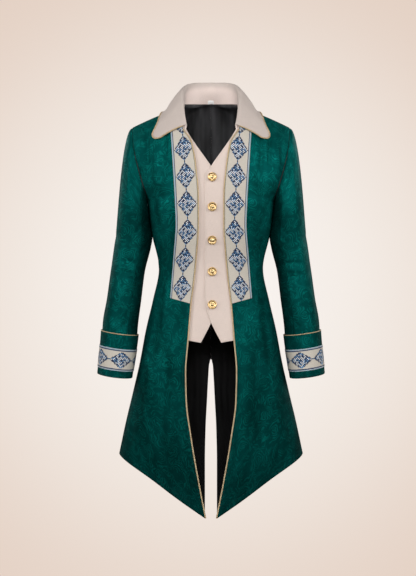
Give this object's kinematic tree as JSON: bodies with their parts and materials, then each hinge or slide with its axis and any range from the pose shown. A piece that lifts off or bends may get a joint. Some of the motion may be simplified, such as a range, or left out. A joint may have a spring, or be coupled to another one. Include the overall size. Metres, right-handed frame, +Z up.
{
  "type": "man's Victorian-style tailcoat with false waistcoat front, filled out with no wearer",
  "caption": "Dark green brocade tailcoat with a cream collar and false waistcoat, woven diamond bands down the fronts and round the cuffs, and tan cord edges.",
  "frame": {"origin": "between the shoulders, level with the side of the neck, where a wearer holds the coat up", "axes": "the front faces -Y, +X is the wearer's left, +Z up"},
  "size_m": [0.5992, 0.2839, 1.1666],
  "materials": {
    "brocade": "dark green brocade, satin figure on a matt ground",
    "lining": "black satin",
    "cream": "cream plain weave, matt",
    "ribbon": "cream woven band with blue diamonds and edge stripes",
    "cord": "tan corded piping with a dull gold lustre",
    "gold": "polished pale brass",
    "label": "white satin, bare"
  },
  "bodies": {
    "root": {"front_left": "brocade", "front_right": "brocade", "back_left": "brocade", "back_right": "brocade", "lining_left": "lining", "lining_right": "lining", "upper_sleeve_left": "brocade", "upper_sleeve_right": "brocade", "under_sleeve_left": "brocade", "under_sleeve_right": "brocade", "cuff_left": "brocade", "cuff_right": "brocade", "cuff_ribbon_left": "ribbon", "cuff_ribbon_right": "ribbon", "cuff_piping_left": "cord", "cuff_piping_right": "cord", "front_ribbon_left": "ribbon", "front_ribbon_right": "ribbon", "front_piping_left": "cord", "front_piping_right": "cord", "vest_left": "cream", "vest_right": "cream", "button_1": "gold", "button_2": "gold", "button_3": "gold", "button_4": "gold", "button_5": "gold", "collar": "cream", "collar_piping": "cord", "label": "label"}
  },
  "joints": []
}
